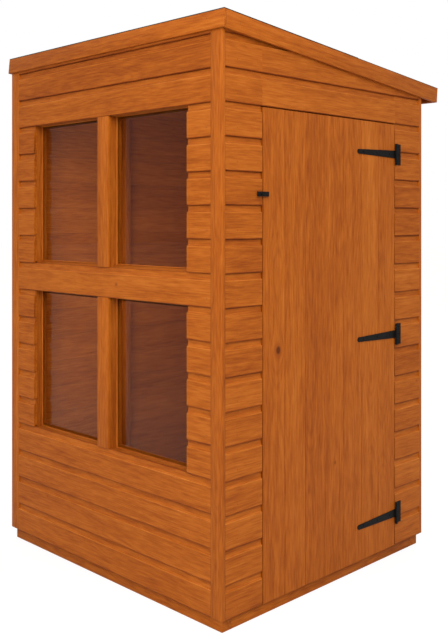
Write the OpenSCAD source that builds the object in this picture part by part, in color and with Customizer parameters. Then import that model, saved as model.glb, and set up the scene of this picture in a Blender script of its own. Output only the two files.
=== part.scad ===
// Small pent-roofed timber summerhouse: four panes in the high front wall and a
// ledged door in the right-hand end.
// All sizes are in millimetres. The origin is on the ground in the middle of the walls.
// The windows face -Y, the door faces +X, and the roof falls towards +Y.

/* [Walls] */
// Width of the front wall, over the cladding
wall_w = 1296; // [1080:1:2400]
// Depth from the front wall to the back wall, over the cladding
wall_d = 1195; // [990:1:2400]
// Thickness of the cladding and the corner strips
cladding_t = 16; // [12:0.5:22]
// Width of the corner strips
strip_w = 55; // [35:1:80]
// Thickness of a stud or rail, seen along the wall
stud_w = 28; // [22:1:40]
// Depth of a stud or rail, through the wall
stud_d = 44; // [40:1:60]

/* [Windows] */
// Distance from the corner of the front wall to the window opening
window_margin = 173; // [130:1:260]
// Height of the lower sill above the ground
sill_h = 505; // [300:1:600]
// Height of each row of panes
pane_h = 575; // [300:1:640]
// Height of the boarded band between the two rows
band_h = 115; // [80:1:200]
// Width of the upright between two panes
mullion_w = 68; // [40:1:100]
// Distance from the face of the cladding back to the glass
glass_setback = 43; // [34:0.5:48]
// Thickness of the glass
glass_t = 3; // [2:0.5:6]
// Gap between the edge of a pane and its frame
glass_gap = 2; // [1:0.5:4]
// Width of the beads that hold the glass
bead_w = 12; // [8:1:20]
// Rise of the sloping sill under the upper panes
sill_rise = 9; // [4:1:16]

/* [Door] */
// Width of the door leaf
door_w = 793; // [600:1:955]
// Height of the door leaf
door_h = 1720; // [1400:1:1800]
// Gap around the door leaf
door_gap = 5; // [3:0.5:8]
// Gap between the back of the leaf and the posts that stop it
stop_gap = 5; // [3:0.5:6]
// How far the posts and the head reach behind the leaf
stop_lap = 18; // [10:1:24]
// Width of the door posts and height of the door head
post_w = 44; // [36:1:60]
// Height of the three ledges across the back of the door
ledge_h = 95; // [60:1:130]
// Thickness of the ledges and braces
ledge_t = 20; // [14:1:28]
// Gap between the ends of the ledges and the posts
ledge_gap = 8; // [6:1:20]
// Width of the two braces
brace_w = 95; // [60:1:120]

/* [Hardware] */
// Height of the bottom hinge above the ground
hinge_bottom_h = 176; // [140:1:300]
// Height of the middle hinge above the ground
hinge_middle_h = 908; // [700:1:1100]
// Height of the top hinge above the ground
hinge_top_h = 1643; // [1500:1:1660]
// Thickness of the hinge metal
hinge_t = 3; // [2:0.5:4]
// Length of a hinge strap from the pin
strap_len = 255; // [150:1:400]
// Width of a hinge strap beside the pin
strap_root = 31; // [24:1:45]
// Width of a hinge strap at its rounded tip
strap_tip = 18; // [12:1:24]
// Width of a hinge plate, from the pin
plate_w = 38; // [28:1:60]
// Height of a hinge plate
plate_h = 85; // [70:1:120]
// Distance of the hinge pin in front of the cladding
pin_out = 8; // [7:0.5:10]
// Radius of the hinge pin
pin_r = 2.9; // [2:0.1:3.2]
// Radius of the hinge knuckles
knuckle_r = 5.5; // [5:0.1:6]
// Length of the turn button
button_len = 57; // [50:1:80]
// Width of the turn button
button_w = 16.6; // [12:0.1:16.6]
// Thickness of the turn button
button_t = 4; // [3:0.5:6]
// Height of the turn button above the ground
button_h = 1464; // [900:1:1550]
// Distance from the middle of the door gap to the screw of the turn button
button_inset = 13; // [12:0.5:20]
// Length of the turn button on the cladding side of its screw
button_tail = 21.5; // [14:0.5:26]
// Gap between the turn button and the faces of the cladding and the door
button_gap = 5.4; // [5:0.1:8]

/* [Floor] */
// Height of the bearers under the floor
bearer_h = 45; // [38:1:75]
// Width of the bearers
bearer_w = 44; // [38:1:60]
// Thickness of the floor boards
floor_t = 12; // [9:0.5:20]

/* [Roof] */
// Height of the top of the roof at its front edge
roof_top = 2074.5; // [2060:0.5:2600]
// Slope of the roof in degrees
roof_slope = 5.6; // [3:0.1:6.8]
// Overhang of the roof in front of the front wall
front_overhang = 3; // [0:0.5:6]
// Overhang of the roof behind the back wall
rear_overhang = 106; // [60:1:200]
// Thickness of the roofing felt
felt_t = 2.5; // [2:0.5:4]
// Thickness of the roof boards
deck_t = 10; // [8:0.5:16]
// Height of the fascias and bargeboards
fascia_h = 62; // [50:1:100]
// Thickness of the fascias and bargeboards
fascia_t = 14; // [10:0.5:14]
// Distance of each roof joist from the middle of the summerhouse
joist_offset = 190; // [120:1:300]

/* [Hidden] */
$fn = 48;

// Small clearances
bore_gap = 0.2;    // between a pin and its bore
knuckle_gap = 0.5; // between one knuckle and the next
seat_gap = 0.1;    // between the sloping faces of the roof and what they rest on

// Planes of the walls, as distances from the middle
out_x = wall_w / 2;          // face of the side cladding
out_y = wall_d / 2;          // face of the front and back cladding
frame_x = out_x - cladding_t; // outer side of the framing
frame_y = out_y - cladding_t;
room_x = frame_x - stud_d;    // inner side of the framing
room_y = frame_y - stud_d;
floor_z = bearer_h + floor_t; // top of the floor
stud_z = floor_z + stud_w;    // top of the bottom rails

// Windows
window_x = out_x - window_margin;
lower_top = sill_h + pane_h;
upper_sill = lower_top + band_h;
upper_top = upper_sill + pane_h;
sills = [sill_h, upper_sill];
glass_y = glass_setback - out_y;
pane_x0 = mullion_w / 2;

// Door
door_y = door_w / 2;             // free and hinged edges of the leaf
opening_y = door_y + door_gap;
door_top = bearer_h + door_h;
opening_top = door_top + door_gap;
post_y = opening_y - stop_lap;  // inner side of the door posts
post_end = min(post_y + post_w, room_y - stud_w - seat_gap); // outer side, clear of the corner studs
head_z = opening_top - stop_lap; // underside of the door head
leaf_t = cladding_t - stop_gap;
leaf_x = out_x - leaf_t;         // back of the door boards
ledge_y = post_y - ledge_gap;
gap_y = door_y + door_gap / 2;   // middle of the gap beside the leaf

// Hinges
bore_r = pin_r + bore_gap;
leaf_end = 2;    // from the pin to the nearest edge of the strap
plate_start = 3.5; // from the pin to the nearest edge of the plate
wrap_y = bore_r + 0.8; // inner side of the metal that rises to the knuckles

// Turn button
button_bore_r = 2.7;
boss_r = 6;      // boss that holds the button off the boards
head_r = 5.5;    // head of the screw
head_t = 2;

// Roof, measured along the slope (u) and down from its top surface (w)
roof_y = -out_y - front_overhang;
roof_len = (wall_d + front_overhang + rear_overhang) / cos(roof_slope);
deck_under = felt_t + deck_t;
wall_top = deck_under + seat_gap;
fascia_under = felt_t + fascia_h;
roof_x = out_x + fascia_t;

timber = [0.71, 0.38, 0.15];
trim_timber = [0.68, 0.35, 0.13];
inner_timber = [0.62, 0.33, 0.13];
black_metal = [0.06, 0.055, 0.05];
felt_green = [0.17, 0.19, 0.17];
clear_glass = [0.75, 0.82, 0.85, 0.35];

// Height of the plane that lies w below the roof's surface, at a place y
function roof_z(y, w) = roof_top - (y - roof_y) * tan(roof_slope) - w / cos(roof_slope);

// Outline in Y and Z of a piece with a level foot, cut off w below the roof's surface
function under_roof(y0, y1, z0, w) = [[y0, z0], [y1, z0], [y1, roof_z(y1, w)], [y0, roof_z(y0, w)]];

module block(low, high) {
    translate(low) cube(high - low);
}

// An outline drawn in Y and Z, carried from x0 to x1
module along_x(x0, x1, outline) {
    translate([x0, 0, 0]) rotate([90, 0, 90]) linear_extrude(x1 - x0) polygon(outline);
}

module both_sides() {
    children();
    mirror([1, 0, 0]) children();
}

// A board that lies in the slope of the roof
module roof_board(x0, x1, u0, u1, w0, w1) {
    translate([0, roof_y, roof_top]) rotate([-roof_slope, 0, 0]) block([x0, u0, -w1], [x1, u1, -w0]);
}

// ---------- floor ----------

module floor_bearers_long() {
    color(inner_timber) {
        block([-frame_x, -frame_y, 0], [frame_x, -frame_y + bearer_w, bearer_h]);
        block([-frame_x, frame_y - bearer_w, 0], [frame_x, frame_y, bearer_h]);
    }
}

module floor_bearers_cross() {
    color(inner_timber)
        for (x = [-frame_x, -bearer_w / 2, frame_x - bearer_w])
            block([x, -frame_y + bearer_w, 0], [x + bearer_w, frame_y - bearer_w, bearer_h]);
}

module floor_boards() {
    color(inner_timber) block([-frame_x, -frame_y, bearer_h], [frame_x, frame_y, floor_z]);
}

// ---------- front wall ----------

// The top rail of a front or back wall has a level foot; its top follows the roof
function rail_foot(y1) = roof_z(y1, wall_top) - stud_w;

module cross_rails(y0, y1) {
    block([-frame_x, y0, floor_z], [frame_x, y1, stud_z]);
    along_x(-frame_x, frame_x, under_roof(y0, y1, rail_foot(y1), wall_top));
}

module front_stud(x0, x1) {
    block([x0, -frame_y, stud_z], [x1, -room_y, rail_foot(-room_y)]);
}

module front_studs() {
    color(inner_timber) {
        both_sides() {
            front_stud(frame_x - stud_w, frame_x);
            front_stud(window_x, window_x + stud_w);
        }
        front_stud(-mullion_w / 2, mullion_w / 2);
    }
}

module front_rails() {
    color(inner_timber) cross_rails(-frame_y, -room_y);
}

module window_rails() {
    color(inner_timber)
        both_sides()
            for (z = sills) {
                block([pane_x0, -frame_y, z - stud_w], [window_x, -room_y, z]);
                block([pane_x0, -frame_y, z + pane_h], [window_x, -room_y, z + pane_h + stud_w]);
            }
}

// Cladding of the front wall between two heights, from x0 to x1
module front_cladding(x0, x1, z0, z1) {
    block([x0, -out_y, z0], [x1, -frame_y, z1]);
}

module front_cladding_bottom() {
    color(timber) front_cladding(strip_w - out_x, out_x - strip_w, bearer_h, sill_h);
}

module front_cladding_sides() {
    color(timber)
        both_sides()
            for (z = sills) front_cladding(window_x, out_x - strip_w, z, z + pane_h);
}

module front_cladding_middle() {
    color(timber) front_cladding(strip_w - out_x, out_x - strip_w, lower_top, upper_sill);
}

module front_cladding_top() {
    color(timber)
        along_x(strip_w - out_x, out_x - strip_w,
                under_roof(-out_y, -frame_y, upper_top, fascia_under + seat_gap));
}

module mullion_covers() {
    color(trim_timber) for (z = sills) front_cladding(-mullion_w / 2, mullion_w / 2, z, z + pane_h);
}

module window_sills() {
    color(trim_timber)
        both_sides()
            along_x(pane_x0, window_x, [[-frame_y, upper_sill], [glass_y, upper_sill],
                                        [glass_y, upper_sill + sill_rise]]);
}

module pane(z) {
    block([pane_x0 + glass_gap, glass_y, z + glass_gap],
          [window_x - glass_gap, glass_y + glass_t, z + pane_h - glass_gap]);
}

module glass_upper() {
    color(clear_glass) both_sides() pane(upper_sill);
}

module glass_lower() {
    color(clear_glass) both_sides() pane(sill_h);
}

module glazing_beads() {
    color(trim_timber)
        both_sides()
            for (z = sills)
                difference() {
                    block([pane_x0, glass_y + glass_t, z], [window_x, -room_y, z + pane_h]);
                    block([pane_x0 + bead_w, glass_y, z + bead_w],
                          [window_x - bead_w, 0, z + pane_h - bead_w]);
                }
}

module corner_strips() {
    color(trim_timber)
        both_sides() {
            along_x(out_x - strip_w, out_x, under_roof(-out_y, -frame_y, bearer_h, fascia_under + seat_gap));
            along_x(out_x - strip_w, out_x, under_roof(frame_y, out_y, bearer_h, wall_top));
        }
}

// ---------- left-hand end ----------

module side_cladding(x0, y0, y1, z0) {
    along_x(x0, x0 + cladding_t, under_roof(y0, y1, z0, wall_top));
}

// A stud of an end wall, cut to the slope under the top rail
module side_stud(x0, y0, y1) {
    along_x(x0, x0 + stud_d, under_roof(y0, y1, stud_z, wall_top + stud_w));
}

module side_top_rail(x0) {
    foot = wall_top + stud_w;
    along_x(x0, x0 + stud_d, [[-room_y, roof_z(-room_y, foot)], [room_y, roof_z(room_y, foot)],
                              [room_y, roof_z(room_y, wall_top)], [-room_y, roof_z(-room_y, wall_top)]]);
}

module left_cladding() {
    color(timber) side_cladding(-out_x, -frame_y, frame_y, bearer_h);
}

module left_studs() {
    color(inner_timber)
        for (y = [-room_y, -stud_w / 2, room_y - stud_w]) side_stud(-frame_x, y, y + stud_w);
}

module left_rails() {
    color(inner_timber) {
        block([-frame_x, -room_y, floor_z], [-room_x, room_y, stud_z]);
        side_top_rail(-frame_x);
    }
}

// ---------- back wall ----------

module rear_cladding() {
    color(timber) along_x(strip_w - out_x, out_x - strip_w, under_roof(frame_y, out_y, bearer_h, wall_top));
}

module rear_studs() {
    color(inner_timber)
        for (x = [-frame_x, -stud_w / 2, frame_x - stud_w])
            block([x, room_y, stud_z], [x + stud_w, frame_y, rail_foot(frame_y)]);
}

module rear_rails() {
    color(inner_timber) cross_rails(room_y, frame_y);
}

// ---------- right-hand end, around the door ----------

module right_cladding_front() {
    color(timber) side_cladding(frame_x, -frame_y, -opening_y, bearer_h);
}

module right_cladding_rear() {
    color(timber) side_cladding(frame_x, opening_y, frame_y, bearer_h);
}

module right_cladding_over_door() {
    color(timber) side_cladding(frame_x, -opening_y, opening_y, opening_top);
}

module right_studs() {
    color(inner_timber) {
        side_stud(room_x, -room_y, -room_y + stud_w);
        side_stud(room_x, -post_end, -post_y);
        side_stud(room_x, post_y, post_end);
        side_stud(room_x, room_y - stud_w, room_y);
    }
}

// The bottom rails stop at the doorway, and the door head joins the posts
module right_rails() {
    color(inner_timber) {
        block([room_x, -room_y, floor_z], [frame_x, -post_y, stud_z]);
        block([room_x, post_y, floor_z], [frame_x, room_y, stud_z]);
        block([room_x, -post_y, head_z], [frame_x, post_y, head_z + post_w]);
        side_top_rail(room_x);
    }
}

// ---------- roof ----------

module roof_deck() {
    color(inner_timber)
        roof_board(-out_x, out_x, fascia_t, roof_len - fascia_t, felt_t + seat_gap, deck_under);
}

// Two joists between the end walls, and a batten behind the rear fascia
module roof_joists() {
    color(inner_timber) {
        for (y = [-joist_offset, joist_offset])
            along_x(-room_x, room_x,
                    under_roof(y - stud_w / 2, y + stud_w / 2, roof_z(y, wall_top + stud_d), wall_top));
        roof_board(-out_x, out_x, roof_len - fascia_t - stud_w, roof_len - fascia_t,
                   wall_top, wall_top + stud_w);
    }
}

module roof_felt() {
    color(felt_green) roof_board(-roof_x, roof_x, 0, roof_len, 0, felt_t);
}

module fascia_front() {
    color(trim_timber) roof_board(-roof_x, roof_x, 0, fascia_t, felt_t, fascia_under);
}

module fascia_rear() {
    color(trim_timber) roof_board(-roof_x, roof_x, roof_len - fascia_t, roof_len, felt_t, fascia_under);
}

module bargeboard_right() {
    color(trim_timber)
        roof_board(out_x + seat_gap, roof_x, fascia_t, roof_len - fascia_t, felt_t, fascia_under);
}

module bargeboard_left() {
    mirror([1, 0, 0]) bargeboard_right();
}

// ---------- door ----------

module door_boards() {
    color(timber) block([leaf_x, -door_y, bearer_h], [out_x, door_y, door_top]);
}

module door_ledges() {
    color(inner_timber)
        for (z = [hinge_bottom_h, hinge_middle_h, hinge_top_h])
            block([leaf_x - ledge_t, -ledge_y, z - ledge_h / 2], [leaf_x, ledge_y, z + ledge_h / 2]);
}

// Each brace rises from the hinge side to the free side, between two ledges
module door_brace(z0, z1) {
    low = z0 + ledge_h / 2;
    high = z1 - ledge_h / 2;
    foot = brace_w / cos(atan((2 * ledge_y - brace_w) / (high - low)));
    along_x(leaf_x - ledge_t, leaf_x,
            [[ledge_y, low], [ledge_y - foot, low], [-ledge_y, high], [foot - ledge_y, high]]);
}

module door_braces() {
    color(inner_timber) {
        door_brace(hinge_bottom_h, hinge_middle_h);
        door_brace(hinge_middle_h, hinge_top_h);
    }
}

// ---------- hinges ----------

module at_pin(z) {
    color(black_metal) translate([out_x + pin_out, gap_y, z]) children();
}

// Strap, rising to its knuckle beside the pin and bored for it
module hinge_strap(z) {
    tip_r = strap_tip / 2;
    at_pin(z)
        difference() {
            union() {
                along_x(-pin_out, hinge_t - pin_out,
                        [[-leaf_end, -strap_root / 2], [-leaf_end, strap_root / 2],
                         [tip_r - strap_len, tip_r], [tip_r - strap_len, -tip_r]]);
                translate([-pin_out, tip_r - strap_len, 0]) rotate([0, 90, 0])
                    cylinder(r = tip_r, h = hinge_t);
                block([-pin_out, -knuckle_r, -strap_root / 2], [0, -wrap_y, strap_root / 2]);
                translate([0, 0, -strap_root / 2]) cylinder(r = knuckle_r, h = strap_root);
            }
            translate([0, 0, -strap_root]) cylinder(r = bore_r, h = 2 * strap_root);
        }
}

// Plate on the wall with the upper and lower knuckles, and the pin fixed in them
module hinge_plate(z) {
    half = strap_root / 2 + knuckle_gap;
    at_pin(z) {
        block([-pin_out, plate_start, -plate_h / 2], [hinge_t - pin_out, plate_w, plate_h / 2]);
        for (z0 = [-plate_h / 2, half]) {
            block([-pin_out, wrap_y, z0], [0, knuckle_r, z0 + plate_h / 2 - half]);
            translate([0, 0, z0]) cylinder(r = knuckle_r, h = plate_h / 2 - half);
        }
        translate([0, 0, -plate_h / 2]) cylinder(r = pin_r, h = plate_h);
    }
}

module hinge_strap_bottom() {
    hinge_strap(hinge_bottom_h);
}

module hinge_strap_middle() {
    hinge_strap(hinge_middle_h);
}

module hinge_strap_top() {
    hinge_strap(hinge_top_h);
}

module hinge_plate_bottom() {
    hinge_plate(hinge_bottom_h);
}

module hinge_plate_middle() {
    hinge_plate(hinge_middle_h);
}

module hinge_plate_top() {
    hinge_plate(hinge_top_h);
}

// ---------- turn button ----------

module at_button() {
    color(black_metal) translate([out_x, -gap_y - button_inset, button_h]) rotate([0, 90, 0]) children();
}

// The button lies level across the gap, with its longer arm over the door
module turn_button() {
    at_button()
        difference() {
            block([-button_w / 2, -button_tail, button_gap],
                  [button_w / 2, button_len - button_tail, button_gap + button_t]);
            cylinder(r = button_bore_r, h = 2 * (button_gap + button_t));
        }
}

// Screw with a boss that holds the button off the boards
module turn_button_screw() {
    head_z0 = button_gap + button_t + bore_gap;
    at_button() {
        cylinder(r = boss_r, h = button_gap - bore_gap);
        cylinder(r = button_bore_r - bore_gap, h = head_z0 + head_t);
        translate([0, 0, head_z0]) cylinder(r = head_r, h = head_t);
    }
}

floor_bearers_long();
floor_bearers_cross();
floor_boards();
front_studs();
front_rails();
window_rails();
front_cladding_bottom();
front_cladding_sides();
front_cladding_middle();
front_cladding_top();
mullion_covers();
window_sills();
glass_upper();
glass_lower();
glazing_beads();
corner_strips();
left_cladding();
left_studs();
left_rails();
rear_cladding();
rear_studs();
rear_rails();
right_cladding_front();
right_cladding_rear();
right_cladding_over_door();
right_studs();
right_rails();
roof_deck();
roof_joists();
roof_felt();
fascia_front();
fascia_rear();
bargeboard_left();
bargeboard_right();
door_boards();
door_ledges();
door_braces();
hinge_strap_bottom();
hinge_strap_middle();
hinge_strap_top();
hinge_plate_bottom();
hinge_plate_middle();
hinge_plate_top();
turn_button();
turn_button_screw();
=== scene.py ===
import bmesh
import bpy
import math
import random
import numpy as np
from mathutils import Matrix, Vector


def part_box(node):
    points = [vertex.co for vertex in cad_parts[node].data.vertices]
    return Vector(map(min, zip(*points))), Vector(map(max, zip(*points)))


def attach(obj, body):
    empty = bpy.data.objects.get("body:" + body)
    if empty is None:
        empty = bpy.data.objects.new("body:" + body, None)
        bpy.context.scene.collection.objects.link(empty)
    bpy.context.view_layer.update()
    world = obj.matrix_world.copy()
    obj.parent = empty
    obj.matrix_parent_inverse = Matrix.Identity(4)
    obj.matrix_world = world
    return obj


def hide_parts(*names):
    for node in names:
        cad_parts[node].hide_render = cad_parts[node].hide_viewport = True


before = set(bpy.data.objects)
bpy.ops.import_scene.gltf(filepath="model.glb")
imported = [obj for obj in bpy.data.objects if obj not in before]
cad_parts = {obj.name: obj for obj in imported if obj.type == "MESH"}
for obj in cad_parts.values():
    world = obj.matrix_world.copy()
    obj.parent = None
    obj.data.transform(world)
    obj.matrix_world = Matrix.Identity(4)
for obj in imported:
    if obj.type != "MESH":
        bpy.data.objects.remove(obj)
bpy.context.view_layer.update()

rng = random.Random(41)
xAxis = Vector((1, 0, 0))
yAxis = Vector((0, 1, 0))
zAxis = Vector((0, 0, 1))
print("frame loaded")

# ---- material helpers

def addNode(tree, kind, inputs=None, **props):
    node = tree.nodes.new(kind)
    for key, value in props.items():
        setattr(node, key, value)
    for key, value in (inputs or {}).items():
        if isinstance(value, bpy.types.NodeSocket):
            tree.links.new(value, node.inputs[key])
        else:
            node.inputs[key].default_value = value
    return node


def calc(tree, operation, *terms):
    return addNode(tree, "ShaderNodeMath", dict(enumerate(terms)), operation=operation).outputs[0]


def blank(name):
    material = bpy.data.materials.new(name)
    material.use_nodes = True
    tree = material.node_tree
    tree.nodes.clear()
    output = tree.nodes.new("ShaderNodeOutputMaterial")
    return material, tree, output


def colourRamp(tree, value, stops):
    node = addNode(tree, "ShaderNodeValToRGB", {"Fac": value})
    elements = node.color_ramp.elements
    while len(elements) < len(stops):
        elements.new(0.5)
    for element, (position, colour) in zip(elements, stops):
        element.position = position
        element.color = (*colour, 1)
    return node.outputs["Color"]


# Stained softwood. grainCo holds the place along, across and through the board, measured from its pith;
# knotCo holds the place measured from its knot and the knot's radius; the tone attribute lightens or darkens a board at
# random and carries painted highlights and painted shade.
def woodMaterial(name, look):
    material, tree, output = blank(name)
    grain = addNode(tree, "ShaderNodeAttribute", attribute_name="grainCo").outputs["Vector"]
    knot = addNode(tree, "ShaderNodeAttribute", attribute_name="knotCo").outputs["Vector"]
    toneAndPaintedLight = addNode(tree, "ShaderNodeAttribute", attribute_name="toneAndPaintedLight").outputs["Fac"]
    place = addNode(tree, "ShaderNodeSeparateXYZ", {0: grain}).outputs
    near = addNode(tree, "ShaderNodeSeparateXYZ", {0: knot}).outputs
    alongKnot = calc(tree, "MULTIPLY", near[0], 0.8)
    gap = calc(tree, "SQRT", calc(tree, "ADD", calc(tree, "MULTIPLY", alongKnot, alongKnot),
                                  calc(tree, "MULTIPLY", near[1], near[1])))
    size = calc(tree, "DIVIDE", gap, near[2])
    pull = calc(tree, "EXPONENT", calc(tree, "MULTIPLY", calc(tree, "MULTIPLY", size, size), -0.16))
    across = calc(tree, "SUBTRACT", place[1], calc(tree, "MULTIPLY", near[1], pull))
    bent = addNode(tree, "ShaderNodeCombineXYZ", {0: place[0], 1: across, 2: place[2]}).outputs[0]

    def streaks(scale, detail, roughness=0.5):
        mapped = addNode(tree, "ShaderNodeVectorMath", {0: bent, 1: scale}, operation="MULTIPLY").outputs[0]
        noise = addNode(tree, "ShaderNodeTexNoise",
                        {"Vector": mapped, "Scale": 1.0, "Detail": detail, "Roughness": roughness})
        return noise.outputs["Fac"]

    wander = streaks((1.7, 5, 5), 1.5)
    sway = streaks((2.3, 3, 3), 1.0)
    side = calc(tree, "ADD", across, calc(tree, "MULTIPLY", calc(tree, "SUBTRACT", wander, 0.5), look["wander"]))
    depth = calc(tree, "ADD", place[2], calc(tree, "MULTIPLY", calc(tree, "SUBTRACT", sway, 0.5), look["sway"]))
    radius = calc(tree, "SQRT", calc(tree, "ADD", calc(tree, "MULTIPLY", side, side),
                                     calc(tree, "MULTIPLY", depth, depth)))
    turns = calc(tree, "MULTIPLY", radius, 2 * math.pi / look["ring"])
    wave = calc(tree, "MULTIPLY", calc(tree, "ADD", calc(tree, "SINE", turns), 1), 0.5)
    rings = calc(tree, "POWER", wave, 2.2)
    patch = streaks((0.9, 9, 9), 2.0)
    broad = streaks((2.6, 42, 42), 3.0)
    mottle = streaks((13, 105, 105), 4.0, 0.62)
    fine = streaks((9, 330, 330), 2.0, 0.6)
    fleck = streaks((22, 650, 650), 1.0)

    def centred(value, share):
        return calc(tree, "MULTIPLY", calc(tree, "SUBTRACT", value, 0.5), share)

    total = calc(tree, "ADD", calc(tree, "MULTIPLY", rings, -look["rings"]), 0.5 + 0.35 * look["rings"])
    # The tone attribute adds in last, with its painted highlights and painted shade
    for part in (centred(patch, look["patch"]), centred(broad, look["broad"]), centred(fine, look["fine"]),
                 centred(mottle, look["mottle"]), centred(fleck, look["fleck"]), toneAndPaintedLight):
        total = calc(tree, "ADD", total, part)
    colour = colourRamp(tree, total, [(0.0, look["dark"]), (0.32, look["deep"]), (0.55, look["middle"]),
                                      (0.8, look["light"]), (1.0, look["pale"])])
    heart = addNode(tree, "ShaderNodeMapRange", {0: size, 1: 1.15, 2: 0.55, 3: 0.0, 4: 1.0},
                    interpolation_type="SMOOTHSTEP").outputs[0]
    halo = addNode(tree, "ShaderNodeMapRange", {0: size, 1: 2.6, 2: 0.9, 3: 0.0, 4: look["halo"]},
                   interpolation_type="SMOOTHSTEP").outputs[0]
    withHalo = addNode(tree, "ShaderNodeMix", {"Factor": halo, 6: colour, 7: (*look["deep"], 1)},
                       data_type="RGBA").outputs[2]
    strength = addNode(tree, "ShaderNodeMapRange", {0: near[2], 1: 0.002, 2: 0.009, 3: 0.2, 4: look["knot"]}).outputs[0]
    knotShare = calc(tree, "MULTIPLY", heart, strength)
    final = addNode(tree, "ShaderNodeMix", {"Factor": knotShare, 6: withHalo, 7: (*look["knotColour"], 1)},
                    data_type="RGBA").outputs[2]
    relief = calc(tree, "ADD", calc(tree, "MULTIPLY", fine, 0.5),
                  calc(tree, "ADD", calc(tree, "MULTIPLY", rings, -0.35), calc(tree, "MULTIPLY", broad, 0.4)))
    bump = addNode(tree, "ShaderNodeBump", {"Height": relief, "Strength": look["bump"], "Distance": 0.0006})
    shader = addNode(tree, "ShaderNodeBsdfPrincipled",
                     {"Base Color": final, "Roughness": look["roughness"], "Specular IOR Level": look["gloss"],
                      "Normal": bump.outputs[0]})
    tree.links.new(shader.outputs[0], output.inputs["Surface"])
    return material


stain = {"dark": (0.15, 0.024, 0.0016), "deep": (0.305, 0.064, 0.0035), "middle": (0.425, 0.104, 0.0075),
         "light": (0.53, 0.150, 0.017), "pale": (0.64, 0.215, 0.036), "knotColour": (0.10, 0.020, 0.002),
         "ring": 0.0062, "rings": 0.07, "wander": 0.06, "sway": 0.06, "patch": 0.28, "broad": 0.42,
         "mottle": 0.66, "fine": 0.38, "fleck": 0.2, "knot": 0.9, "halo": 0.5, "bump": 0.28,
         "roughness": 0.58, "gloss": 0.2}
claddingWood = woodMaterial("claddingWood", stain)
trimWood = woodMaterial("trimWood", {**stain, "rings": 0.06, "ring": 0.0054, "broad": 0.44})
doorWood = woodMaterial("doorWood", {**stain, "rings": 0.08, "ring": 0.0066})
framingWood = woodMaterial("framingWood", {**stain, "dark": (0.13, 0.021, 0.0015), "deep": (0.26, 0.053, 0.003),
                                           "middle": (0.365, 0.087, 0.0065), "light": (0.455, 0.125, 0.014),
                                           "pale": (0.54, 0.17, 0.03), "roughness": 0.65, "bump": 0.4})
flooringWood = woodMaterial("flooringWood", {**stain, "roughness": 0.62, "rings": 0.1, "bump": 0.4})


def metalMaterial(name, look):
    material, tree, output = blank(name)
    place = addNode(tree, "ShaderNodeTexCoord").outputs["Object"]
    wearAndPaintedLight = addNode(tree, "ShaderNodeTexNoise", {"Vector": place, "Scale": look["scale"], "Detail": 4.0})
    colour = colourRamp(tree, wearAndPaintedLight.outputs["Fac"], [(0.3, look["dark"]), (0.7, look["light"])])
    grit = addNode(tree, "ShaderNodeTexNoise", {"Vector": place, "Scale": 2400.0, "Detail": 2.0})
    bump = addNode(tree, "ShaderNodeBump", {"Height": grit.outputs["Fac"], "Strength": 0.25, "Distance": 0.0002})
    shader = addNode(tree, "ShaderNodeBsdfPrincipled",
                     {"Base Color": colour, "Roughness": look["roughness"], "Metallic": look["metallic"],
                      "Specular IOR Level": look["gloss"], "Normal": bump.outputs[0]})
    tree.links.new(shader.outputs[0], output.inputs["Surface"])
    return material


blackMetal = metalMaterial("blackMetal", {"dark": (0.004, 0.0035, 0.0035), "light": (0.009, 0.008, 0.0075),
                                          "scale": 90.0, "roughness": 0.5, "metallic": 0.0, "gloss": 0.16})
nailMetal = metalMaterial("nailMetal", {"dark": (0.20, 0.052, 0.008), "light": (0.34, 0.10, 0.018),
                                        "scale": 400.0, "roughness": 0.55, "metallic": 0.2, "gloss": 0.3})


def feltMaterial(name):
    material, tree, output = blank(name)
    place = addNode(tree, "ShaderNodeTexCoord").outputs["Object"]
    cells = addNode(tree, "ShaderNodeTexVoronoi", {"Vector": place, "Scale": 900.0})
    cloud = addNode(tree, "ShaderNodeTexNoise", {"Vector": place, "Scale": 7.0, "Detail": 3.0})
    shade = calc(tree, "ADD", calc(tree, "MULTIPLY", cells.outputs["Distance"], 0.5),
                 calc(tree, "MULTIPLY", cloud.outputs["Fac"], 0.6))
    colour = colourRamp(tree, shade, [(0.15, (0.012, 0.014, 0.012)), (0.55, (0.030, 0.035, 0.030)),
                                      (0.95, (0.065, 0.072, 0.064))])
    bump = addNode(tree, "ShaderNodeBump", {"Height": cells.outputs["Distance"], "Strength": 0.6,
                                            "Distance": 0.0006})
    shader = addNode(tree, "ShaderNodeBsdfPrincipled",
                     {"Base Color": colour, "Roughness": 0.88, "Normal": bump.outputs[0]})
    tree.links.new(shader.outputs[0], output.inputs["Surface"])
    return material


# Clear float glass with a trace of waviness; it casts no shadow
def glassMaterial(name):
    material, tree, output = blank(name)
    place = addNode(tree, "ShaderNodeTexCoord").outputs["Object"]
    ripple = addNode(tree, "ShaderNodeTexNoise", {"Vector": place, "Scale": 3.0, "Detail": 1.0})
    bump = addNode(tree, "ShaderNodeBump", {"Height": ripple.outputs["Fac"], "Strength": 0.05, "Distance": 0.002})
    shader = addNode(tree, "ShaderNodeBsdfPrincipled",
                     {"Base Color": (0.93, 0.90, 0.85, 1), "Roughness": 0.0, "IOR": 1.25,
                      "Transmission Weight": 1.0, "Normal": bump.outputs[0]})
    clear = addNode(tree, "ShaderNodeBsdfTransparent", {"Color": (0.86, 0.87, 0.85, 1)})
    path = addNode(tree, "ShaderNodeLightPath").outputs["Is Shadow Ray"]
    mixed = addNode(tree, "ShaderNodeMixShader", {0: path, 1: shader.outputs[0], 2: clear.outputs[0]})
    tree.links.new(mixed.outputs[0], output.inputs["Surface"])
    return material


roofFelt = feltMaterial("roofFelt")
clearGlass = glassMaterial("clearGlass")
print("materials made")

# ---- mesh helpers

def newBatch():
    return {"verts": [], "faces": [], "grain": [], "knot": [], "toneAndPaintedLight": []}
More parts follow.
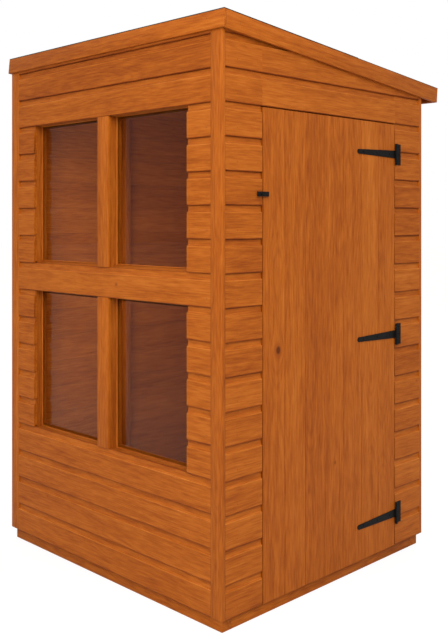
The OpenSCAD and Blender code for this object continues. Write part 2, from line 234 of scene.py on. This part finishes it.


# Adds one board's mesh, with its grain, knot and tone, the tone holding the painted highlight and painted shade from
# the optional function; axes run along, across and through it
def addBoard(batch, mesh, axes=None, knot=None, look=None, wearAndPaintedLight=None):
    look = look or {}
    mesh.verts.index_update()
    points = np.array([v.co for v in mesh.verts], float)
    start = len(batch["verts"])
    batch["verts"] += [tuple(p) for p in points]
    batch["faces"] += [[start + v.index for v in f.verts] for f in mesh.faces]
    middle = (points.min(0) + points.max(0)) / 2
    if axes is None:
        axes = np.linalg.svd(points - points.mean(0), full_matrices=False)[2]
    axes = np.array([tuple(a) for a in axes], float)
    local = (points - middle) @ axes.T
    spread = local[:, 0].max() - local[:, 0].min()
    width = local[:, 1].max() - local[:, 1].min()
    shift = (rng.uniform(0, 60), rng.uniform(-0.045, 0.045), rng.choice((-1, 1)) * rng.uniform(0.025, 0.075))
    batch["grain"] += [tuple(p) for p in local + np.array(shift)]
    if knot is None and rng.random() < look.get("knotChance", 0.15) * min(1.0, spread / 0.8):
        knot = (rng.uniform(-0.45, 0.45) * spread, rng.uniform(-0.33, 0.33) * width, rng.uniform(0.0025, 0.0055))
    if knot is None:
        knot = (30.0, 30.0, 0.004)
    batch["knot"] += [(p[0] - knot[0], p[1] - knot[1], knot[2]) for p in local]
    shade = rng.gauss(look.get("shade", 0.0), look.get("spread", 0.035))
    # The tone is a random shift plus the painted highlight and painted shade that the optional function returns
    batch["toneAndPaintedLight"] += [shade + (wearAndPaintedLight(Vector(p)) if wearAndPaintedLight else 0.0) for p in points]
    mesh.free()


# Closed prism: the outline lies in the plane of two axes and runs along a third
def prism(outline, origin, axes, length):
    mesh = bmesh.new()
    rings = []
    for s in (0.0, length):
        rings.append([mesh.verts.new(origin + axes[0] * s + axes[1] * p + axes[2] * q) for p, q in outline])
    count = len(outline)
    for i in range(count):
        j = (i + 1) % count
        mesh.faces.new((rings[0][i], rings[0][j], rings[1][j], rings[1][i]))
    mesh.faces.new(rings[0])
    mesh.faces.new(list(reversed(rings[1])))
    bmesh.ops.recalc_face_normals(mesh, faces=mesh.faces)
    return mesh


# Cuts away what lies on the normal's side of a plane and closes the cut
def cutAway(mesh, point, normal):
    geometry = mesh.verts[:] + mesh.edges[:] + mesh.faces[:]
    bmesh.ops.bisect_plane(mesh, geom=geometry, plane_co=point, plane_no=normal, clear_outer=True, dist=1e-7)
    loose = [e for e in mesh.edges if e.is_boundary]
    if loose:
        bmesh.ops.holes_fill(mesh, edges=loose, sides=0)
        bmesh.ops.recalc_face_normals(mesh, faces=mesh.faces)
    return mesh


def softenEdges(mesh, arris, segments=2):
    edges = [e for e in mesh.edges if len(e.link_faces) == 2 and e.calc_face_angle(0) > 0.35]
    bmesh.ops.bevel(mesh, geom=edges, offset=arris, segments=segments, profile=0.55, affect="EDGES",
                    clamp_overlap=True)
    return mesh


def makeObject(name, batch, material, body, hides=(), smooth=32):
    data = bpy.data.meshes.new(name)
    data.from_pydata(batch["verts"], [], batch["faces"])
    if batch["grain"]:
        for key, values in (("grainCo", batch["grain"]), ("knotCo", batch["knot"])):
            layer = data.attributes.new(key, "FLOAT_VECTOR", "POINT")
            layer.data.foreach_set("vector", np.array(values, np.float32).ravel())
        layer = data.attributes.new("toneAndPaintedLight", "FLOAT", "POINT")
        layer.data.foreach_set("value", np.array(batch["toneAndPaintedLight"], np.float32))
    data.polygons.foreach_set("use_smooth", [True] * len(data.polygons))
    data.set_sharp_from_angle(angle=math.radians(smooth))
    data.materials.append(material)
    data.update()
    obj = bpy.data.objects.new(name, data)
    bpy.context.scene.collection.objects.link(obj)
    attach(obj, body)
    if hides:
        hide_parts(*hides)
    return obj


# The separate solids of a CAD node, with flat faces joined up again
def islandsOf(node):
    whole = bmesh.new()
    whole.from_mesh(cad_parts[node].data)
    bmesh.ops.remove_doubles(whole, verts=whole.verts, dist=1e-6)
    whole.verts.index_update()
    seen = set()
    found = []
    for seed in whole.verts:
        if seed.index in seen:
            continue
        stack = [seed]
        seen.add(seed.index)
        group = []
        while stack:
            v = stack.pop()
            group.append(v)
            for e in v.link_edges:
                w = e.other_vert(v)
                if w.index not in seen:
                    seen.add(w.index)
                    stack.append(w)
        part = bmesh.new()
        copies = {v: part.verts.new(v.co) for v in group}
        for f in {f for v in group for f in v.link_faces}:
            part.faces.new([copies[v] for v in f.verts])
        bmesh.ops.recalc_face_normals(part, faces=part.faces)
        bmesh.ops.dissolve_limit(part, angle_limit=0.01, verts=part.verts, edges=part.edges)
        found.append(part)
    whole.free()
    return found


# ---- walls

roof = {"y": -0.6005, "top": 2.0745, "slope": math.radians(5.6), "deck": 0.0125, "felt": 0.0025, "fascia": 0.062}
roof["length"] = 1.304 / math.cos(roof["slope"])
roofDown = Vector((0, math.cos(roof["slope"]), -math.sin(roof["slope"])))
roofUp = Vector((0, math.sin(roof["slope"]), math.cos(roof["slope"])))
roofStart = Vector((0, roof["y"], roof["top"]))


def roofPoint(w):
    return roofStart - roofUp * w


# Two of these values shift the tone: a painted highlight on each board's cove arris and painted shade in its joints
shiplap = {"foot": 0.045, "cover": 0.115, "face": 0.090, "scoop": 0.0068, "rise": 0.009, "lip": 0.008, "rebate": 0.0065,
           "thickness": 0.016, "tongue": 0.0055, "arrisHighlight": 0.3, "jointShade": 0.3, "knotChance": 0.2, "spread": 0.035}


# Outline of one board: depth in from its face, height above its foot
def shiplapOutline(topped):
    cover = shiplap["cover"]
    outline = [(0.0012, 0.0), (shiplap["lip"], 0.0), (shiplap["lip"], shiplap["rebate"]),
               (shiplap["thickness"], shiplap["rebate"])]
    if topped:
        outline += [(shiplap["thickness"], cover)]
    else:
        outline += [(shiplap["thickness"], cover + shiplap["tongue"]), (0.0083, cover + shiplap["tongue"]),
                    (0.0083, cover)]
    outline += [(0.0078, cover), (0.0074, cover - 0.004)]
    for i in range(9):
        turn = math.pi / 2 * i / 8
        outline.append((shiplap["scoop"] * math.cos(turn),
                        shiplap["face"] + shiplap["rise"] * (1 - math.sin(turn))))
    outline += [(0.0, shiplap["face"] - 0.0035), (0.0, 0.0045), (0.0, 0.0013), (0.0004, 0.0004)]
    return outline


# Lighter on the board's cove arris, partly stain thinned on the arris and partly a painted highlight where the upturned
# ledge catches light; darker at its foot and top edge, painted shade in the joint
def arrisHighlightAndJointShade(height, depth):
    if depth > 0.0085:
        return 0.0
    if abs(height - shiplap["face"]) < 0.0006:
        return shiplap["arrisHighlight"]
    if height < 0.0015 or height > shiplap["cover"] - 0.0005:
        return -shiplap["jointShade"]
    return 0.0


# Boards of one wall region: low and high are its corners, out points away from the room
def shiplapRegion(batch, low, high, along, out, roofCut=None):
    start = low[0] if abs(along.x) > 0.5 else low[1]
    end = high[0] if abs(along.x) > 0.5 else high[1]
    if abs(along.x) > 0.5:
        base = Vector((start, low[1] if out.y < 0 else high[1], 0))
    else:
        base = Vector((low[0] if out.x < 0 else high[0], start, 0))
    first = round((low[2] - shiplap["foot"]) / shiplap["cover"])
    last = math.ceil((high[2] - shiplap["foot"]) / shiplap["cover"] - 0.02)
    for k in range(first, last):
        foot = shiplap["foot"] + k * shiplap["cover"]
        topped = abs(foot + shiplap["cover"] - high[2]) < 0.002
        sink = rng.uniform(0.0, 0.0003)
        origin = base + zAxis * foot - out * sink
        mesh = prism(shiplapOutline(topped), origin, (along, -out, zAxis), end - start)
        if roofCut is not None:
            cutAway(mesh, roofPoint(roofCut), roofUp)
        if len(mesh.faces) < 4:
            mesh.free()
            continue
        # Each board's tone takes the painted arris highlight and the painted joint shade
        addBoard(batch, mesh, (along, zAxis, out), look=shiplap,
                 wearAndPaintedLight=lambda p: arrisHighlightAndJointShade(p.z - foot, (origin - p).dot(out)))


wallNodes = {
    "front_cladding_bottom": (xAxis, -yAxis, None),
    "front_cladding_middle": (xAxis, -yAxis, None),
    "front_cladding_top": (xAxis, -yAxis, roof["felt"] + roof["fascia"] + 0.0001),
    "left_cladding": (yAxis, -xAxis, roof["deck"] + 0.0001),
    "rear_cladding": (xAxis, yAxis, roof["deck"] + 0.0001),
    "right_cladding_front": (yAxis, xAxis, roof["deck"] + 0.0001),
    "right_cladding_rear": (yAxis, xAxis, roof["deck"] + 0.0001),
    "right_cladding_over_door": (yAxis, xAxis, roof["deck"] + 0.0001),
}
for node, (along, out, roofCut) in wallNodes.items():
    low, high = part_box(node)
    batch = newBatch()
    shiplapRegion(batch, low, high, along, out, roofCut)
    makeObject(node + "Boards", batch, claddingWood, "shed", [node])
batch = newBatch()
for island in islandsOf("front_cladding_sides"):
    points = np.array([v.co for v in island.verts])
    island.free()
    shiplapRegion(batch, points.min(0), points.max(0), xAxis, -yAxis)
makeObject("frontSideBoards", batch, claddingWood, "shed", ["front_cladding_sides"])
print("cladding made")

# ---- planed and sawn timber that keeps its CAD shape, with eased arrises

timbers = {
    "floor_bearers_long": (flooringWood, "flooring", "shed", 0.0012, 0.0),
    "floor_bearers_cross": (flooringWood, "flooring", "shed", 0.0012, 0.0),
    "front_studs": (framingWood, "framing", "shed", 0.0012, 0.02),
    "front_rails": (framingWood, "framing", "shed", 0.0012, 0.0),
    "window_rails": (framingWood, "framing", "shed", 0.0012, 0.06),
    "left_studs": (framingWood, "framing", "shed", 0.0012, 0.0),
    "left_rails": (framingWood, "framing", "shed", 0.0012, 0.0),
    "rear_studs": (framingWood, "framing", "shed", 0.0012, 0.0),
    "rear_rails": (framingWood, "framing", "shed", 0.0012, 0.0),
    "right_studs": (framingWood, "framing", "shed", 0.0012, 0.0),
    "right_rails": (framingWood, "framing", "shed", 0.0012, 0.0),
    "roof_joists": (framingWood, "framing", "shed", 0.0012, 0.0),
    "mullion_covers": (trimWood, "trim", "shed", 0.0022, 0.03),
    "window_sills": (trimWood, "trim", "shed", 0.0006, 0.0),
    "corner_strips": (trimWood, "trim", "shed", 0.0018, 0.0),
    "fascia_front": (trimWood, "trim", "shed", 0.0018, 0.0),
    "fascia_rear": (trimWood, "trim", "shed", 0.0018, 0.0),
    "bargeboard_left": (trimWood, "trim", "shed", 0.0018, 0.0),
    "bargeboard_right": (trimWood, "trim", "shed", 0.0018, 0.0),
    "door_ledges": (framingWood, "door_timber", "door", 0.0025, 0.03),
    "door_braces": (framingWood, "door_timber", "door", 0.0025, 0.03),
}
for node, (material, slotName, body, arris, shade) in timbers.items():
    batch = newBatch()
    for island in islandsOf(node):
        softenEdges(island, arris)
        if node.startswith("bargeboard"):
            side = -1 if node.endswith("left") else 1
            for v in island.verts:
                if v.co.x * side > 0.6615:
                    v.co.x -= side * 0.0004
        addBoard(batch, island, look={"knotChance": 0.15, "spread": 0.03, "shade": shade})
    makeObject(node + "Timber", batch, material, body, [node])
print("timber dressed")

# ---- boarded planes

# The last value darkens each board along its edges, painted shade in the grooves between boards
tongued = {"tongue": 0.004, "half": 0.0014, "gap": 0.0005, "slack": 0.0004, "edge": 0.0022, "jointShade": 0.11}


# Outline across one board: tongue on the high side, groove on the low side
def tonguedOutline(width, thickness, firstBoard, lastBoard, chamfer):
    middle = thickness / 2
    half = tongued["half"]
    wide = half + tongued["slack"] / 2
    reach = tongued["tongue"]
    low = 0.0 if firstBoard else tongued["gap"] / 2
    high = width if lastBoard else width - tongued["gap"] / 2
    near = low + chamfer + tongued["edge"]
    far = high - chamfer - tongued["edge"]
    outline = [(low + chamfer, 0.0), (near, 0.0), (far, 0.0), (high - chamfer, 0.0), (high, chamfer)]
    if not lastBoard:
        outline += [(high, middle - half), (high + reach, middle - half), (high + reach, middle + half),
                    (high, middle + half)]
    outline += [(high, thickness - chamfer), (high - chamfer, thickness), (far, thickness), (near, thickness),
                (low + chamfer, thickness), (low, thickness - chamfer)]
    if not firstBoard:
        outline += [(low, middle + wide), (low + reach + 0.0008, middle + wide),
                    (low + reach + 0.0008, middle - wide), (low, middle - wide)]
    outline += [(low, chamfer)]
    return outline


# Fills a rectangle with boards: axes run along, across and through them
def boarded(batch, origin, axes, length, width, thickness, count, chamfer, knots=None, look=None):
    each = width / count
    for i in range(count):
        outline = tonguedOutline(each, thickness, i == 0, i == count - 1, chamfer)
        mesh = prism(outline, origin + axes[1] * (each * i), axes, length)

        # Painted shade: darker along the board's edges, in the groove it makes with its neighbour
        def grooveShade(p):
            place = (p - origin).dot(axes[1]) - each * i
            return -tongued["jointShade"] if min(place, each - place) < chamfer + 0.0006 else 0.0

        addBoard(batch, mesh, axes, (knots or {}).get(i), look, grooveShade)


# Door: seven upright boards; the front-most carries a dark knot
door = {"count": 7, "chamfer": 0.0009, "knotChance": 0.2, "spread": 0.03, "shade": 0.0}
low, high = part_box("door_boards")
batch = newBatch()
boarded(batch, Vector((low[0], low[1], low[2])), (zAxis, yAxis, xAxis), high[2] - low[2], high[1] - low[1],
        high[0] - low[0], door["count"], door["chamfer"], {0: (0.0105, 0.0195, 0.0125)}, door)
makeObject("doorBoards", batch, doorWood, "door", ["door_boards"])

low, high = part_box("floor_boards")
batch = newBatch()
boarded(batch, Vector((low[0], low[1], low[2])), (xAxis, yAxis, zAxis), high[0] - low[0], high[1] - low[1],
        high[2] - low[2], 10, 0.0008, None, {"knotChance": 0.5, "spread": 0.07})
makeObject("floorBoards", batch, flooringWood, "shed", ["floor_boards"])

deck = {"halfWidth": 0.648, "start": 0.014, "inset": 0.014, "thickness": 0.0099, "count": 11}
batch = newBatch()
boarded(batch, roofStart - xAxis * deck["halfWidth"] + roofDown * deck["start"] - roofUp * roof["deck"],
        (roofDown, xAxis, roofUp), roof["length"] - deck["start"] - deck["inset"], 2 * deck["halfWidth"],
        deck["thickness"], deck["count"], 0.0008, None, {"knotChance": 0.5, "spread": 0.06})
makeObject("roofBoards", batch, framingWood, "shed", ["roof_deck"])
print("boards made")

# ---- glazing

bead = {"width": 0.012, "depth": 0.014, "round": 0.005}
batch = newBatch()
for island in islandsOf("glazing_beads"):
    points = np.array([v.co for v in island.verts])
    island.free()
    x0, y0, z0 = points.min(0)
    x1, y1, z1 = points.max(0)
    outline = [(0.0, 0.0), (bead["width"], 0.0), (bead["width"], bead["depth"] - bead["round"])]
    for i in range(1, 5):
        turn = math.pi / 2 * i / 4
        outline.append((bead["width"] - bead["round"] * (1 - math.cos(turn)),
                        bead["depth"] - bead["round"] * (1 - math.sin(turn))))
    outline.append((0.0, bead["depth"]))
    corners = [(Vector((x0, y0, z0)), xAxis, zAxis, x1 - x0), (Vector((x1, y0, z0)), zAxis, -xAxis, z1 - z0),
               (Vector((x1, y0, z1)), -xAxis, -zAxis, x1 - x0), (Vector((x0, y0, z1)), -zAxis, xAxis, z1 - z0)]
    for corner, along, inward, length in corners:
        bar = prism(outline, corner, (along, inward, yAxis), length)
        cutAway(bar, corner, (inward - along).normalized())
        cutAway(bar, corner + along * length, (inward + along).normalized())
        addBoard(batch, bar, (along, inward, yAxis), look={"knotChance": 0.0, "spread": 0.03})
makeObject("glazingBeads", batch, trimWood, "shed", ["glazing_beads"])

# Narrow bedding fillet in the corner between the outside of each pane and its frame
batch = newBatch()
for x0, z0 in ((-0.475, 0.505), (0.034, 0.505), (-0.475, 1.195), (0.034, 1.195)):
    x1 = x0 + 0.441
    z1 = z0 + 0.575
    foot = z0 + (0.009 if z0 > 1 else 0)
    corners = [(Vector((x0, -0.5545, foot)), xAxis, zAxis, x1 - x0), (Vector((x1, -0.5545, foot)), zAxis, -xAxis, z1 - foot),
               (Vector((x1, -0.5545, z1)), -xAxis, -zAxis, x1 - x0), (Vector((x0, -0.5545, z1)), -zAxis, xAxis, z1 - foot)]
    for corner, along, inward, length in corners:
        bar = prism([(0.0, 0.0), (0.0032, 0.0), (0.0028, 0.0006), (0.0006, 0.0028), (0.0, 0.0032)], corner,
                    (along, inward, -yAxis), length)
        cutAway(bar, corner, (inward - along).normalized())
        cutAway(bar, corner + along * length, (inward + along).normalized())
        addBoard(batch, bar, (along, inward, yAxis), look={"knotChance": 0.0, "spread": 0.02})
makeObject("glazingFillets", batch, trimWood, "shed")
for node in ("glass_upper", "glass_lower"):
    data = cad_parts[node].data
    data.materials.clear()
    data.materials.append(clearGlass)
print("glazing made")

# ---- roofing felt in two lapped strips

felt = {"thickness": 0.0012, "halfWidth": 0.662, "join": 0.66, "lap": 0.075, "wave": 0.00022, "columns": 70,
        "rows": 40, "nailPitch": 0.11}


def feltStrip(mesh, u0, u1, top):
    grid = []
    for layer in (0, 1):
        rows = []
        for i in range(felt["rows"] + 1):
            u = u0 + (u1 - u0) * i / felt["rows"]
            row = []
            for j in range(felt["columns"] + 1):
                x = -felt["halfWidth"] + 2 * felt["halfWidth"] * j / felt["columns"]
                edge = min(1.0, 8 * min(i / felt["rows"], 1 - i / felt["rows"], j / felt["columns"],
                                        1 - j / felt["columns"]))
                wave = felt["wave"] * edge * (1 + math.sin(9.1 * x + 5.3 * u) * math.sin(13.7 * u - 3.1 * x + 1.2)) / 2
                w = top + wave + layer * felt["thickness"]
                row.append(mesh.verts.new(roofStart + xAxis * x + roofDown * u - roofUp * w))
            rows.append(row)
        grid.append(rows)
    upper, lower = grid
    for i in range(felt["rows"]):
        for j in range(felt["columns"]):
            mesh.faces.new((upper[i][j], upper[i + 1][j], upper[i + 1][j + 1], upper[i][j + 1]))
            mesh.faces.new((lower[i][j], lower[i][j + 1], lower[i + 1][j + 1], lower[i + 1][j]))
    rim = [(0, j) for j in range(felt["columns"])] + [(i, felt["columns"]) for i in range(felt["rows"])]
    rim += [(felt["rows"], j) for j in range(felt["columns"], 0, -1)] + [(i, 0) for i in range(felt["rows"], 0, -1)]
    for (i, j), (k, m) in zip(rim, rim[1:] + rim[:1]):
        mesh.faces.new((upper[i][j], upper[k][m], lower[k][m], lower[i][j]))
    bmesh.ops.recalc_face_normals(mesh, faces=mesh.faces)


def batchOf(mesh):
    mesh.verts.index_update()
    batch = newBatch()
    batch["verts"] = [tuple(v.co) for v in mesh.verts]
    batch["faces"] = [[v.index for v in f.verts] for f in mesh.faces]
    mesh.free()
    return batch


mesh = bmesh.new()
feltStrip(mesh, felt["join"], roof["length"], 0.0013)
feltStrip(mesh, 0.0, felt["join"] + felt["lap"], 0.0001)
makeObject("feltStrips", batchOf(mesh), roofFelt, "shed", ["roof_felt"])
print("felt made")

# ---- metalwork

# Domed head on a face; a slotted one has two half domes over a thin disc
def addHead(mesh, centre, out, radius, height, slotted=False, turn=0.0, sides=20):
    side = out.orthogonal().normalized()
    other = out.cross(side)
    first = side * math.cos(turn) + other * math.sin(turn)
    second = out.cross(first)

    def lathe(profile, test=None):
        rings = []
        for r, h in profile:
            ring = []
            for i in range(sides):
                angle = 2 * math.pi * i / sides
                p = first * (r * math.cos(angle)) + second * (r * math.sin(angle))
                ring.append(mesh.verts.new(centre + p + out * h))
            rings.append(ring)
        for a, b in zip(rings, rings[1:]):
            for i in range(sides):
                j = (i + 1) % sides
                mesh.faces.new((a[i], a[j], b[j], b[i]))
        mesh.faces.new(rings[-1])
        mesh.faces.new(list(reversed(rings[0])))

    if not slotted:
        lathe([(radius, 0.0), (radius * 0.97, height * 0.45), (radius * 0.8, height * 0.8),
               (radius * 0.45, height)])
        return
    lathe([(radius, 0.0), (radius, height * 0.42)])
    gap = radius * 0.13
    for sign in (-1, 1):
        rings = []
        for r, h in ((radius, 0.42), (radius * 0.93, 0.72), (radius * 0.62, 1.0)):
            begin = math.asin(min(1.0, gap / r))
            ring = []
            for i in range(11):
                angle = begin + (math.pi - 2 * begin) * i / 10
                p = first * (r * math.cos(angle)) + second * (sign * r * math.sin(angle))
                ring.append(mesh.verts.new(centre + p + out * (h * height)))
            rings.append(ring)
        for a, b in zip(rings, rings[1:]):
            for i in range(10):
                mesh.faces.new((a[i], a[i + 1], b[i + 1], b[i]))
            mesh.faces.new((a[0], b[0], b[-1], a[-1]))
        mesh.faces.new(rings[-1])
        mesh.faces.new(list(reversed(rings[0])))


hinge = {"heights": (0.176, 0.908, 1.643), "pinY": 0.399, "face": 0.651, "bolts": (0.040, 0.125, 0.215),
         "boltRadius": 0.0042, "boltHeight": 0.0022, "screwRadius": 0.0038, "screwHeight": 0.0014}
strapHeads = bmesh.new()
plateHeads = bmesh.new()
for z in hinge["heights"]:
    for reach in hinge["bolts"]:
        addHead(strapHeads, Vector((hinge["face"], hinge["pinY"] - reach, z)), xAxis, hinge["boltRadius"],
                hinge["boltHeight"])
    for dy, dz in ((0.020, 0.031), (0.020, -0.031), (0.028, 0.0)):
        addHead(plateHeads, Vector((hinge["face"], hinge["pinY"] + dy, z + dz)), xAxis, hinge["screwRadius"],
                hinge["screwHeight"], True, rng.uniform(0, 3))
low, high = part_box("turn_button_screw")
middle = (low + high) / 2
addHead(plateHeads, Vector((high[0], middle[1], middle[2])), xAxis, 0.0045, 0.0011, True, 0.6)
for name, mesh, body in (("strapBolts", strapHeads, "door"), ("plateScrews", plateHeads, "shed")):
    bmesh.ops.recalc_face_normals(mesh, faces=mesh.faces)
    makeObject(name, batchOf(mesh), blackMetal, body)
for node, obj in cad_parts.items():
    if node.startswith(("hinge_", "turn_button")):
        obj.data.materials.clear()
        obj.data.materials.append(blackMetal)

nails = {"radius": 0.0021, "height": 0.00025, "rise": 0.03}
mesh = bmesh.new()


def nail(x, y, z, out):
    addHead(mesh, Vector((x, y, z)) - out * 0.0003, out, nails["radius"], nails["height"] + 0.0003, sides=10)


boardFeet = [shiplap["foot"] + shiplap["cover"] * k for k in range(17)]
for k, foot in enumerate(boardFeet):
    z = foot + nails["rise"]
    full = k < 4 or k == 9 or k > 14
    for x in (-0.575, -0.489, 0.0, 0.489, 0.575) if full else (-0.575, -0.489, 0.489, 0.575):
        if z < 1.99:
            nail(x, -0.5975, z, -yAxis)
    for x in (-0.575, 0.0, 0.575):
        if z < 1.93:
            nail(x, 0.5975, z, yAxis)
    for y in (-0.524, 0.0, 0.524):
        if z < 1.93:
            nail(-0.648, y, z, -xAxis)
    for y in (-0.524, -0.424, 0.424, 0.524):
        if z < 1.93:
            nail(0.648, y, z, xAxis)
for z in np.arange(0.12, 1.95, 0.3):
    for x in (-0.62, 0.62):
        nail(x, -0.5975, z, -yAxis)
        if z < 1.9:
            nail(x, 0.5975, z, yAxis)
for x in np.arange(-0.58, 0.59, 0.29):
    for out, u in ((-roofDown, 0.0), (roofDown, roof["length"])):
        spot = roofStart + roofDown * u - roofUp * 0.024 + xAxis * x
        nail(spot.x, spot.y, spot.z, out)
for u in np.arange(0.08, 1.28, 0.28):
    spot = roofStart + roofDown * u - roofUp * 0.034
    nail(0.6616, spot.y, spot.z, xAxis)
    nail(-0.6616, spot.y, spot.z, -xAxis)
bmesh.ops.recalc_face_normals(mesh, faces=mesh.faces)
makeObject("cladNails", batchOf(mesh), nailMetal, "shed")

ledgeNails = bmesh.new()
for z in hinge["heights"]:
    for i in range(door["count"]):
        y = -0.3965 + 0.793 / door["count"] * (i + 0.5)
        for dz, dy in ((0.03, 0.028), (-0.03, -0.028)):
            if y + dy < 0.13 or dz < 0 and abs(dz) > 0.04:
                addHead(ledgeNails, Vector((0.6477, y + dy, z + dz)), xAxis, 0.0019, 0.0005, sides=10)
bmesh.ops.recalc_face_normals(ledgeNails, faces=ledgeNails.faces)
makeObject("ledgeNails", batchOf(ledgeNails), nailMetal, "door")
print("metalwork made")

# ---- floor, light and camera

def studio():
    material, tree, output = blank("paleFloor")
    path = addNode(tree, "ShaderNodeLightPath").outputs["Is Camera Ray"]
    shade = addNode(tree, "ShaderNodeMix", {"Factor": path, 6: (0.50, 0.49, 0.48, 1), 7: (0.80, 0.79, 0.78, 1)},
                    data_type="RGBA").outputs[2]
    matt = addNode(tree, "ShaderNodeBsdfDiffuse", {"Color": shade})
    glow = addNode(tree, "ShaderNodeEmission", {"Color": (1, 1, 1, 1), "Strength": 1.14})
    share = calc(tree, "MULTIPLY", path, 0.72)
    mixed = addNode(tree, "ShaderNodeMixShader", {0: share, 1: matt.outputs[0], 2: glow.outputs[0]})
    tree.links.new(mixed.outputs[0], output.inputs["Surface"])
    data = bpy.data.meshes.new("floor")
    data.from_pydata([(-40, -40, 0), (40, -40, 0), (40, 40, 0), (-40, 40, 0)], [], [(0, 1, 2, 3)])
    data.materials.append(material)
    floor = bpy.data.objects.new("floor", data)
    bpy.context.scene.collection.objects.link(floor)

    # White to the camera; for everything else a soft sky, bright overhead
    world = bpy.data.worlds.new("studio")
    bpy.context.scene.world = world
    world.use_nodes = True
    tree = world.node_tree
    tree.nodes.clear()
    path = addNode(tree, "ShaderNodeLightPath").outputs["Is Camera Ray"]
    ray = addNode(tree, "ShaderNodeTexCoord").outputs["Generated"]
    height = addNode(tree, "ShaderNodeSeparateXYZ", {0: ray}).outputs[2]
    sky = addNode(tree, "ShaderNodeMapRange", {0: height, 1: 0.1, 2: 1.0, 3: 0.33, 4: 1.1}).outputs[0]
    white = addNode(tree, "ShaderNodeBackground", {"Color": (1, 1, 1, 1), "Strength": 1.0})
    soft = addNode(tree, "ShaderNodeBackground", {"Color": (1.0, 0.99, 0.98, 1), "Strength": sky})
    mixed = addNode(tree, "ShaderNodeMixShader", {0: path, 1: soft.outputs[0], 2: white.outputs[0]})
    output = tree.nodes.new("ShaderNodeOutputWorld")
    tree.links.new(mixed.outputs[0], output.inputs["Surface"])

    lamps = [("key", (3.4, -3.1, 3.4), (0, 0, 0.9), (3.2, 3.2), 195.0),
             ("fill", (0.6, -4.2, 0.5), (0, 0, 0.2), (3.0, 0.9), 22.0),
             ("back", (-2.4, 4.0, 4.5), (0, 0, 1.0), (3.0, 3.0), 80.0),
             ("room", (0.0, -0.47, 1.14), (0, 0.5, 1.14), (1.0, 1.3), 5.8)]
    for name, spot, aim, size, energy in lamps:
        lamp = bpy.data.lights.new(name, "AREA")
        lamp.shape = "RECTANGLE"
        lamp.size, lamp.size_y = size
        lamp.energy = energy
        obj = bpy.data.objects.new(name, lamp)
        obj.location = spot
        obj.rotation_euler = (Vector(aim) - Vector(spot)).to_track_quat("-Z", "Y").to_euler()
        obj.visible_camera = False
        obj.visible_glossy = False
        obj.visible_transmission = False
        bpy.context.scene.collection.objects.link(obj)


def aimCamera():
    data = bpy.data.cameras.new("camera")
    data.lens = 49.63
    data.sensor_width = 36
    data.shift_y = -0.155
    data.clip_end = 200
    camera = bpy.data.objects.new("camera", data)
    camera.location = (2.716, -2.647, 1.3715)
    camera.rotation_euler = Vector((-0.7087, 0.7055, 0)).to_track_quat("-Z", "Y").to_euler()
    bpy.context.scene.collection.objects.link(camera)
    bpy.context.scene.camera = camera


studio()
aimCamera()
bpy.context.scene.view_settings.view_transform = "Standard"
print("scene done")
